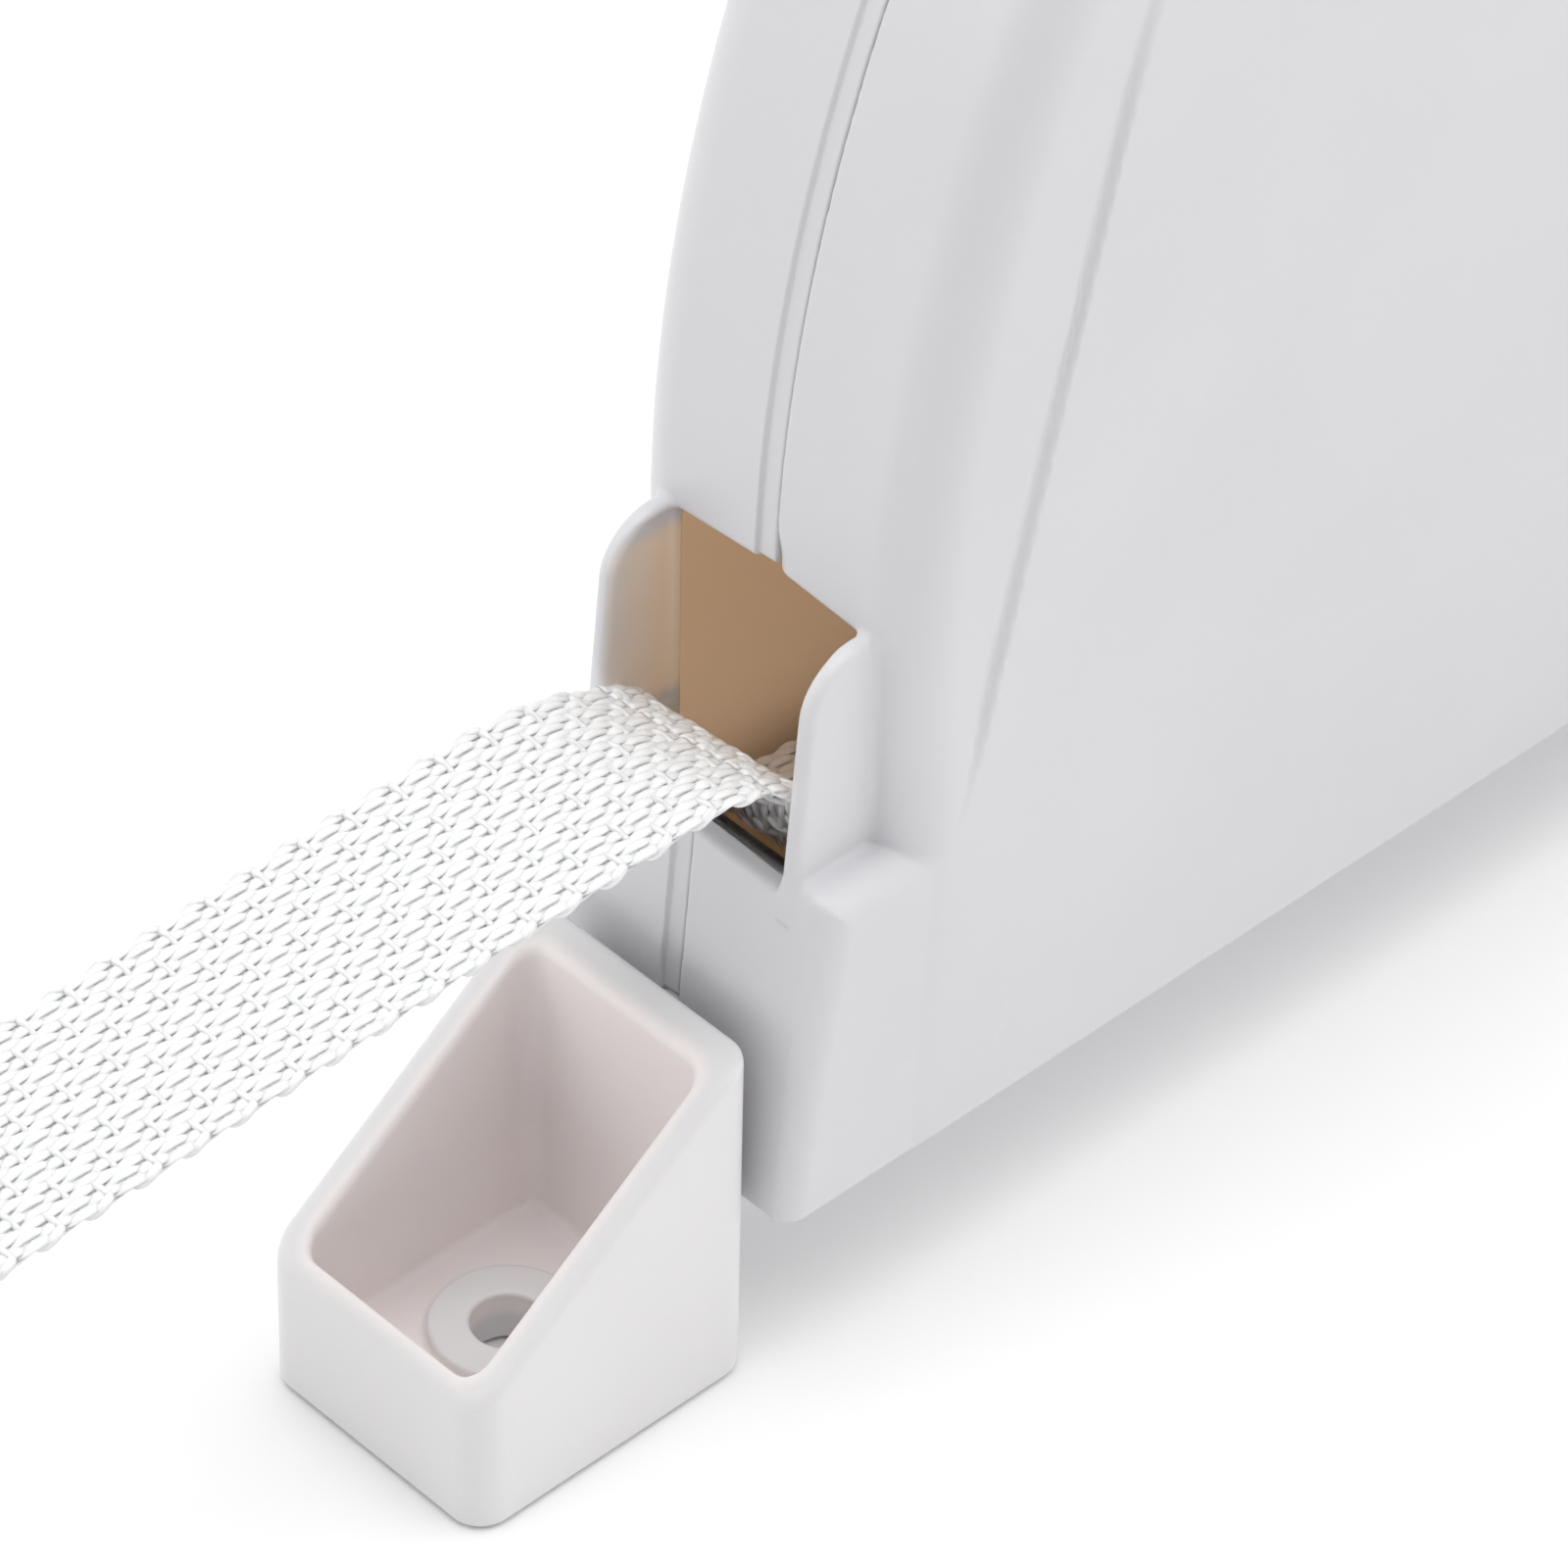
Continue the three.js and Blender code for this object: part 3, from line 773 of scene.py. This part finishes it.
def mesh_field(name, field, axes, material):
    """The field's zero surface as a mesh, its points and normals taken from the field itself."""
    x, y, z = axes
    values = np.empty((len(x), len(y), len(z)), np.float32)
    for i, xi in enumerate(x):
        values[i] = field(xi, y[:, None], z[None, :])
    points, faces = surface_net(values, axes)
    start = points.copy()
    for _ in range(4):
        slope = gradient(field, points, 0.02)
        size = np.maximum((slope**2).sum(1), 0.2)
        move = field(*points.T)[:, None] * slope / size[:, None]
        points = points - np.clip(move, -0.4, 0.4)
    drift = points - start
    length = np.linalg.norm(drift, axis=1, keepdims=True)
    points = start + drift * np.minimum(1, 0.8 / np.maximum(length, 1e-9))
    normals = unit(gradient(field, points, 0.03) + 1e-9)
    return add_mesh(name, points, faces, material, normals=normals), points


def spans(*parts):
    """Grid lines: each part is (from, to, spacing)."""
    lines = []
    for low, high, step in parts:
        step = step if FINE else step * 1.7
        count = max(int(round((high - low) / step)), 1)
        lines.append(np.linspace(low, high, count, endpoint=False))
    lines.append(np.array([parts[-1][1]]))
    return np.concatenate(lines)


SHELL_Y = (
    (-84.5, -71.6, 0.4),
    (-71.6, -67.2, 0.3),
    (-67.2, -66, 0.4),
    (-66, -44, 0.6),
    (-44, 46, 1.5),
    (46, 66, 0.7),
    (66, 84.5, 0.6),
)
SHELL_Z = (
    (13.6, 16.6, 0.3),
    (16.6, 44.0, 0.75),
    (44.0, 49.5, 0.32),
    (49.5, 64.5, 0.6),
    (64.5, 70.0, 0.27),
    (70.0, 159, 1.0),
)
RIGHT_X = ((0.3, 2.1, 0.14), (2.1, 9.3, 0.42), (9.3, 17.4, 0.3))
LEFT_X = ((-17.4, -9.3, 0.3), (-9.3, -2.1, 0.42), (-2.1, 1.0, 0.14))
FOOT_X = ((-13.6, 13.6, 0.32),)
FOOT_Y = ((-112.6, -73.0, 0.33),)
FOOT_Z = ((-0.7, 6.4, 0.3), (6.4, 34.4, 0.4))


def make_shell(side, name, material):
    def field(x, y, z):
        return shell_field(side, x, y, z)

    across = RIGHT_X if side > 0 else LEFT_X
    axes = [spans(*across), spans(*SHELL_Y), spans(*SHELL_Z)]
    piece, points = mesh_field(name, field, axes, material)
    # painted warm shade: mask of the inside walls and the slot's cheeks, which the material tints tan
    inner = smoothstep(0.25, 0.05, cavity_field(*points.T))
    cheek = smoothstep(0.7, 0.2, np.abs(slot_field(*points.T))) * smoothstep(48, 50, points[:, 2])
    cheek = cheek * smoothstep(66.5, 64.5, points[:, 2])
    inner = np.maximum(inner, 0.7 * cheek * smoothstep(-81.0, -70.0, points[:, 1]))
    for py, pz in POSTS if side < 0 else []:
        reach = rod(points[:, 1] - py, points[:, 2] - pz, SCREW_SINK)
        sunk = smoothstep(0.35, 0.15, reach)
        inner = inner * (1 - sunk * smoothstep(SCREW_SEAT + 0.8, SCREW_SEAT + 0.4, points[:, 0]))
    add_attribute(piece, "inner", inner)
    # painted light: the emission mask, kept to about 28 mm up so the low inside stays darker
    add_attribute(piece, "painted_glow", inner * smoothstep(28, 38, points[:, 2]))
    return piece


def make_foot(name, material, turned=False):
    axes = [spans(*FOOT_X), spans(*FOOT_Y), spans(*FOOT_Z)]
    piece, points = mesh_field(name, foot_field, axes, material)
    # painted light: mask of the pocket's faces, which the material makes lighter and warmer
    add_attribute(piece, "inner", smoothstep(1.5, 0.2, np.abs(pocket_field(*points.T))))
    if turned:
        piece.matrix_world = Matrix.Rotation(math.pi, 4, "Z")
    return piece


# ---- materials ------------------------------------------------------------------------------
class Nodes:
    """A Principled material and short calls that add nodes to it."""

    def __init__(self, name, colour, roughness, metallic=0.0):
        self.material = bpy.data.materials.new(name)
        self.material.use_nodes = True
        self.material.diffuse_color = (*colour, 1)
        self.tree = self.material.node_tree
        self.shader = self.tree.nodes["Principled BSDF"]
        self.set("Base Color", (*colour, 1))
        self.set("Roughness", roughness)
        self.set("Metallic", metallic)

    def set(self, socket, value):
        self.shader.inputs[socket].default_value = value

    def node(self, kind, **values):
        node = self.tree.nodes.new(kind)
        for key, value in values.items():
            setattr(node, key, value)
        return node

    def link(self, a, b):
        self.tree.links.new(a, b)

    def place(self, scale=(1, 1, 1), source="Object", turn=(0, 0, 0)):
        coordinates = self.node("ShaderNodeTexCoord")
        mapping = self.node("ShaderNodeMapping")
        mapping.inputs["Scale"].default_value = scale
        mapping.inputs["Rotation"].default_value = turn
        self.link(coordinates.outputs[source], mapping.inputs["Vector"])
        return mapping.outputs["Vector"]

    def noise(self, where, scale, detail=3.0, roughness=0.55):
        node = self.node("ShaderNodeTexNoise")
        node.inputs["Scale"].default_value = scale
        node.inputs["Detail"].default_value = detail
        node.inputs["Roughness"].default_value = roughness
        self.link(where, node.inputs["Vector"])
        return node.outputs["Fac"]

    def ramp(self, value, stops):
        node = self.node("ShaderNodeValToRGB")
        elements = node.color_ramp.elements
        while len(elements) < len(stops):
            elements.new(0.5)
        for element, (position, colour) in zip(elements, stops):
            element.position = position
            element.color = (*colour, 1)
        self.link(value, node.inputs["Fac"])
        return node.outputs["Color"]

    def span(self, value, low, high):
        node = self.node("ShaderNodeMapRange")
        node.inputs["From Min"].default_value = 0.3
        node.inputs["From Max"].default_value = 0.7
        node.inputs["To Min"].default_value = low
        node.inputs["To Max"].default_value = high
        self.link(value, node.inputs["Value"])
        return node.outputs["Result"]

    def mix(self, factor, a, b):
        node = self.node("ShaderNodeMix", data_type="RGBA")
        self.link(factor, node.inputs["Factor"])
        for socket, value in ((node.inputs[6], a), (node.inputs[7], b)):
            if isinstance(value, tuple):
                socket.default_value = (*value, 1)
            else:
                self.link(value, socket)
        return node.outputs[2]

    def attribute(self, name):
        return self.node("ShaderNodeAttribute", attribute_name=name).outputs["Fac"]

    def colour(self, output):
        self.link(output, self.shader.inputs["Base Color"])

    def roughness(self, output):
        self.link(output, self.shader.inputs["Roughness"])

    def bump(self, *layers):
        """Each layer is (height, strength, distance in metres)."""
        last = None
        for height, strength, distance in layers:
            node = self.node("ShaderNodeBump")
            node.inputs["Strength"].default_value = strength
            node.inputs["Distance"].default_value = distance
            self.link(height, node.inputs["Height"])
            if last is not None:
                self.link(last, node.inputs["Normal"])
            last = node.outputs["Normal"]
        self.link(last, self.shader.inputs["Normal"])


HOUSING_WHITE = (0.745, 0.745, 0.768)
# painted warm shade: a tan that stands in for the dim, warm light deep inside the white housing
INSIDE_WARM_SHADE = (0.80, 0.62, 0.43)
INSIDE_PAINTED_GLOW = (0.140, 0.105, 0.073)   # painted light: a weak emission that stands in for daylight coming through the thin white walls


def moulded_plastic(name, painted_shade_and_glow=False):
    """Satin white moulding: faint flow marks, a fine matt grain and slightly uneven gloss."""
    n = Nodes(name, HOUSING_WHITE, 0.38)
    where = n.place()
    broad = n.noise(where, 26, 2)
    tones = ((0.25, (0.668, 0.664, 0.688)), (0.75, (0.704, 0.700, 0.722)))
    tone = n.ramp(broad, tones)
    if painted_shade_and_glow:
        # painted warm shade on the inside walls, and a weak emission there as painted light
        inner = n.attribute("inner")
        tone = n.mix(inner, tone, INSIDE_WARM_SHADE)
        painted_glow = n.mix(n.attribute("painted_glow"), (0.0, 0.0, 0.0), INSIDE_PAINTED_GLOW)
        n.link(painted_glow, n.shader.inputs["Emission Color"])
        n.set("Emission Strength", 1.0)
    n.colour(tone)
    n.roughness(n.span(n.noise(where, 60, 2), 0.29, 0.34))
    n.set("Specular IOR Level", 0.45)
    n.set("Subsurface Weight", 0.06)
    n.set("Subsurface Radius", (0.004, 0.003, 0.0022))
    n.set("Subsurface Scale", 0.6)
    grain = n.noise(where, 5200, 2, 0.6)
    ripple = n.noise(where, 45, 1)
    n.bump((ripple, 0.03, 0.0006), (grain, 0.10, 0.00006))
    return n.material


def foot_plastic(name):
    """The feet's warmer white, with the same grain."""
    n = Nodes(name, (0.74, 0.735, 0.74), 0.42)
    where = n.place()
    stops = ((0.25, (0.770, 0.756, 0.764)), (0.75, (0.805, 0.794, 0.802)))
    tone = n.ramp(n.noise(where, 34, 2), stops)
    # painted light: the pocket is made a lighter, warmer white, for the light that falls into it
    n.colour(n.mix(n.attribute("inner"), tone, (0.93, 0.872, 0.862)))
    n.roughness(n.span(n.noise(where, 70, 2), 0.38, 0.45))
    n.set("Specular IOR Level", 0.42)
    n.set("Subsurface Weight", 0.06)
    n.set("Subsurface Radius", (0.004, 0.003, 0.0022))
    n.set("Subsurface Scale", 0.6)
    n.bump((n.noise(where, 45, 1), 0.03, 0.0006), (n.noise(where, 5200, 2), 0.12, 0.00006))
    return n.material


def yarn(name, colour=(0.92, 0.925, 0.93)):
    """Bright filament yarn: fine fibres along its length, silky gloss, slight translucency."""
    n = Nodes(name, colour, 0.34)
    fibres = n.place((34, 1.6, 1), "UV", (0, 0, 0.03))
    fibre = n.noise(fibres, 1.0, 3, 0.6)
    tufts = n.noise(n.place((3, 0.9, 1), "UV"), 1.0, 2)
    shade = n.ramp(fibre, ((0.28, tuple(c * 0.86 for c in colour)), (0.62, colour)))
    n.colour(n.mix(tufts, shade, tuple(min(c * 1.03, 1) for c in colour)))
    n.roughness(n.span(fibre, 0.14, 0.32))
    n.set("Specular IOR Level", 0.6)
    n.set("Sheen Weight", 0.25)
    n.set("Sheen Roughness", 0.35)
    n.set("Subsurface Weight", 0.22)
    n.set("Subsurface Radius", (0.002, 0.002, 0.002))
    n.set("Subsurface Scale", 0.5)
    n.bump((tufts, 0.25, 0.00012), (fibre, 0.55, 0.00009))
    return n.material


def polished_steel(name, colour=(0.62, 0.60, 0.58), lines=(60, 2600, 2600)):
    """Drawn steel: hair lines along the bar and a soft change of gloss."""
    n = Nodes(name, colour, 0.16, 1.0)
    where = n.place(lines)
    hair = n.noise(where, 1.0, 3)
    cloud = n.noise(n.place(), 160, 3)
    dark = tuple(c * 0.86 for c in colour)
    n.colour(n.ramp(cloud, ((0.3, dark), (0.7, colour))))
    n.roughness(n.span(hair, 0.12, 0.24))
    n.set("Anisotropic", 0.4)
    n.bump((hair, 0.06, 0.00003))
    return n.material


def pin_with_painted_highlight(name):
    """Dark drawn steel with a painted highlight: a bright band on the side that faces up and forward.
    """
    n = Nodes(name, (0.20, 0.18, 0.17), 0.18, 1.0)
    split = n.node("ShaderNodeSeparateXYZ")
    n.link(n.place(source="UV"), split.inputs["Vector"])
    dark, middle, bright = (0.20, 0.18, 0.17), (0.58, 0.57, 0.57), (0.98, 0.98, 0.98)
    # painted highlight: the bright band round the bar, centred on the side facing up and forward
    stops = ((0.45, dark), (0.52, middle), (0.56, bright), (0.62, bright), (0.67, middle), (0.74, dark))
    painted_highlight = n.ramp(split.outputs["X"], stops)
    hair = n.noise(n.place((60, 2600, 2600)), 1.0, 3)
    n.colour(n.mix(n.span(hair, 0.0, 0.12), painted_highlight, dark))
    n.roughness(n.span(hair, 0.24, 0.36))
    n.bump((hair, 0.06, 0.00003))
    return n.material


def turned_steel(name, colour=(0.60, 0.61, 0.63)):
    """Plated screws and pins: fine turning marks and a few darker specks."""
    n = Nodes(name, colour, 0.26, 1.0)
    where = n.place()
    fine = n.noise(where, 1600, 3)
    specks = n.noise(where, 420, 4, 0.7)
    dark = tuple(c * 0.78 for c in colour)
    n.colour(n.ramp(specks, ((0.30, dark), (0.48, colour))))
    n.roughness(n.span(fine, 0.18, 0.36))
    n.bump((fine, 0.08, 0.00004))
    return n.material


def spring_strip(name):
    """Blued spring strip, straw to grey along its length, with rolling marks."""
    n = Nodes(name, (0.18, 0.19, 0.22), 0.34, 1.0)
    marks = n.noise(n.place((40, 900, 900)), 1.0, 3)
    blush = n.noise(n.place(), 70, 2)
    stops = ((0.3, (0.13, 0.15, 0.20)), (0.55, (0.24, 0.25, 0.27)), (0.8, (0.33, 0.27, 0.20)))
    n.colour(n.ramp(blush, stops))
    n.roughness(n.span(marks, 0.26, 0.44))
    n.bump((marks, 0.10, 0.00004))
    return n.material


def reel_plastic(name):
    """Grey reel moulding with a coarser spark finish and faint rubbing."""
    n = Nodes(name, (0.46, 0.47, 0.49), 0.5)
    where = n.place()
    rub = n.noise(n.place((1, 30, 30)), 9, 3)
    n.colour(n.ramp(rub, ((0.3, (0.42, 0.43, 0.45)), (0.7, (0.50, 0.51, 0.53)))))
    n.roughness(n.span(n.noise(where, 300, 4), 0.40, 0.60))
    n.bump((n.noise(where, 1500, 3), 0.2, 0.00008))
    return n.material


def nylon(name):
    """Natural nylon: waxy, cream, slightly translucent."""
    n = Nodes(name, (0.80, 0.76, 0.66), 0.42)
    where = n.place()
    n.colour(n.ramp(n.noise(where, 240, 3), ((0.3, (0.76, 0.71, 0.60)), (0.7, (0.84, 0.80, 0.71)))))
    n.roughness(n.span(n.noise(where, 900, 2), 0.34, 0.50))
    n.set("Subsurface Weight", 0.2)
    n.set("Subsurface Radius", (0.003, 0.0025, 0.002))
    n.set("Subsurface Scale", 0.5)
    n.bump((n.noise(where, 2400, 2), 0.1, 0.00005))
    return n.material


def wound_webbing(name):
    """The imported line, its woven pattern as relief."""
    n = Nodes(name, (0.80, 0.80, 0.79), 0.5)
    weave_map = n.place((1, 1, 1), "UV")
    wave_along = n.node("ShaderNodeTexWave", wave_type="BANDS", bands_direction="Y")
    wave_along.inputs["Scale"].default_value = 0.14
    wave_along.inputs["Distortion"].default_value = 0.6
    n.link(weave_map, wave_along.inputs["Vector"])
    fibre = n.noise(n.place((60, 2.0, 1), "UV"), 1.0, 3)
    n.colour(n.ramp(fibre, ((0.3, (0.70, 0.70, 0.69)), (0.7, (0.86, 0.86, 0.85)))))
    n.roughness(n.span(fibre, 0.40, 0.60))
    n.set("Sheen Weight", 0.2)
    n.bump((wave_along.outputs["Fac"], 0.5, 0.0003), (fibre, 0.4, 0.0001))
    return n.material


def pale_floor(name):
    n = Nodes(name, (0.93, 0.93, 0.93), 0.9)
    n.set("Specular IOR Level", 0.0)
    stops = ((0.3, (0.978, 0.978, 0.980)), (0.7, (0.985, 0.985, 0.985)))
    n.colour(n.ramp(n.noise(n.place(), 3, 2), stops))
    return n.material


# ---- stage ----------------------------------------------------------------------------------
WORLD_LEVEL = 0.77
DIM_LEVEL = 0.26
DIM_DIRECTION = (0.66, -0.66, 0.36)


def shade_world(tree):
    """White all round, dimmer in the quarter that faces the housing's front corner."""
    background = tree.nodes["Background"]
    direction = tree.nodes.new("ShaderNodeTexCoord")
    facing = tree.nodes.new("ShaderNodeVectorMath")
    facing.operation = "DOT_PRODUCT"
    facing.inputs[1].default_value = DIM_DIRECTION
    level = tree.nodes.new("ShaderNodeMapRange")
    level.interpolation_type = "SMOOTHSTEP"
    level.inputs["From Min"].default_value = 0.2
    level.inputs["From Max"].default_value = 0.95
    level.inputs["To Min"].default_value = WORLD_LEVEL
    level.inputs["To Max"].default_value = DIM_LEVEL
    tree.links.new(direction.outputs["Generated"], facing.inputs[0])
    tree.links.new(facing.outputs["Value"], level.inputs["Value"])
    tree.links.new(level.outputs["Result"], background.inputs["Strength"])
    background.inputs["Color"].default_value = (1.0, 1.0, 1.0, 1)


def make_stage():
    floor_mesh = bpy.data.meshes.new("floor")
    half = 4.0
    corners = [(-half, -half, 0), (half, -half, 0), (half, half, 0), (-half, half, 0)]
    floor_mesh.from_pydata(corners, [], [(0, 1, 2, 3)])
    floor_mesh.materials.append(pale_floor("floor_white"))
    floor = bpy.data.objects.new("floor", floor_mesh)
    bpy.context.scene.collection.objects.link(floor)
    floor.location.z = -0.0004
    world = bpy.data.worlds.new("soft_white")
    bpy.context.scene.world = world
    world.use_nodes = True
    shade_world(world.node_tree)
    bpy.context.scene.view_settings.view_transform = "Standard"


def soft_light(name, azimuth, elevation, distance, size, power, target=(0, -60, 50)):
    """A square area light aimed at the target, placed as the camera is, by azimuth and elevation."""
    az = math.radians(azimuth)
    el = math.radians(elevation)
    aim = np.array([math.sin(az) * math.cos(el), -math.cos(az) * math.cos(el), math.sin(el)])
    data = bpy.data.lights.new(name, "AREA")
    data.shape = "SQUARE"
    data.size = size
    data.energy = power
    light = bpy.data.objects.new(name, data)
    bpy.context.scene.collection.objects.link(light)
    place = np.array(target) * MM + aim * distance
    right = unit(np.cross([0.0, 0.0, 1.0], aim))
    matrix = np.eye(4)
    matrix[:3, 0] = right
    matrix[:3, 1] = np.cross(aim, right)
    matrix[:3, 2] = aim
    matrix[:3, 3] = place
    light.matrix_world = Matrix(matrix.tolist())


def make_lights():
    soft_light("light_right", 128, 28, 1.1, 0.9, 2.1)
    soft_light("light_left", -40, 30, 1.1, 0.9, 1.5)
    soft_light("light_top", 45, 84, 1.2, 1.3, 10.6)


# ---- assembly -------------------------------------------------------------------------------
def finish_piece(piece, body, slot, *nodes):
    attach(piece, body)
    if nodes:
        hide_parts(*nodes)


def paint_cad(material, *names):
    """Gives CAD nodes a material in all of their slots."""
    for name in names:
        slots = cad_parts[name].material_slots
        if not slots:
            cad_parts[name].data.materials.append(material)
        for material_slot in slots:
            material_slot.material = material


def make_pin(material):
    """The bar across the slot, with its ends rounded."""
    parts = Parts()
    x = np.concatenate([
        [-PIN_HALF, -PIN_HALF + 0.1],
        np.linspace(-14.6, 14.6, 40),
        [PIN_HALF - 0.1, PIN_HALF],
    ])
    radius = np.full(len(x), PIN_R)
    radius[[0, -1]] = PIN_R - 0.4
    radius[[1, -2]] = PIN_R - 0.12
    centre = np.stack([x, 0 * x + PIN_Y, 0 * x + PIN_Z], -1)
    across = np.tile([0.0, 1.0, 0.0], (len(x), 1))
    lift = np.tile([0.0, 0.0, 1.0], (len(x), 1))
    tube(parts, centre, across, lift, radius[pad(x)], radius[pad(x)], 48)
    return parts.build("steel_guide_pin", material)


make_camera()
make_stage()
make_lights()

YARN = yarn("webbing_white")
STEEL = turned_steel("plated_steel")

webbing = Webbing()
line, inner_run, line_path = make_line(webbing, YARN)
stitches = make_stitches(webbing, yarn("thread_white", (0.83, 0.84, 0.86)))
ring = make_ring(polished_steel("ring_steel", (0.66, 0.66, 0.67), (200, 200, 200)))
finish_piece(ring, "ring", "polished_steel", "end_ring")
finish_piece(inner_run, "housing", "webbing", "line_inner_run")
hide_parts("line_free")
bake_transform(line)
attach(stitches, "line")
line_length = float(np.linalg.norm(np.diff(line_path, axis=0), axis=1).sum())
tuple(line_path[0])
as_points(line_path)

PLASTIC = moulded_plastic("housing_white", painted_shade_and_glow=True)
FOOT = foot_plastic("foot_white")
left_shell = make_shell(-1, "housing_left_shell", PLASTIC)
right_shell = make_shell(1, "housing_right_shell", PLASTIC)
front_foot = make_foot("mount_front_foot", FOOT)
rear_foot = make_foot("mount_rear_foot", FOOT, turned=True)
finish_piece(left_shell, "housing", "housing_plastic", "left_shell")
finish_piece(right_shell, "housing", "housing_plastic", "right_shell")
finish_piece(front_foot, "mount", "housing_plastic", "front_foot")
finish_piece(rear_foot, "mount", "housing_plastic", "rear_foot")
finish_piece(make_pin(pin_with_painted_highlight("pin_steel")), "guide_pin", "polished_steel", "guide_pin")
finish_piece(make_roll(wound_webbing("webbing_wound")), "drum", "webbing", "line_roll")

paint_cad(reel_plastic("reel_grey"), "drum", "drum_cover")
paint_cad(nylon("nylon_cream"), "bush_left", "bush_right")
paint_cad(spring_strip("spring_steel_blue"), "mainspring")
paint_cad(STEEL, "axle", "spring_rivet", "line_anchor_pin", "washer_left", "washer_right")
paint_cad(STEEL, *[f"case_screw_{i}" for i in range(1, 6)])
paint_cad(STEEL, *[f"cover_screw_{i}" for i in range(1, 4)])
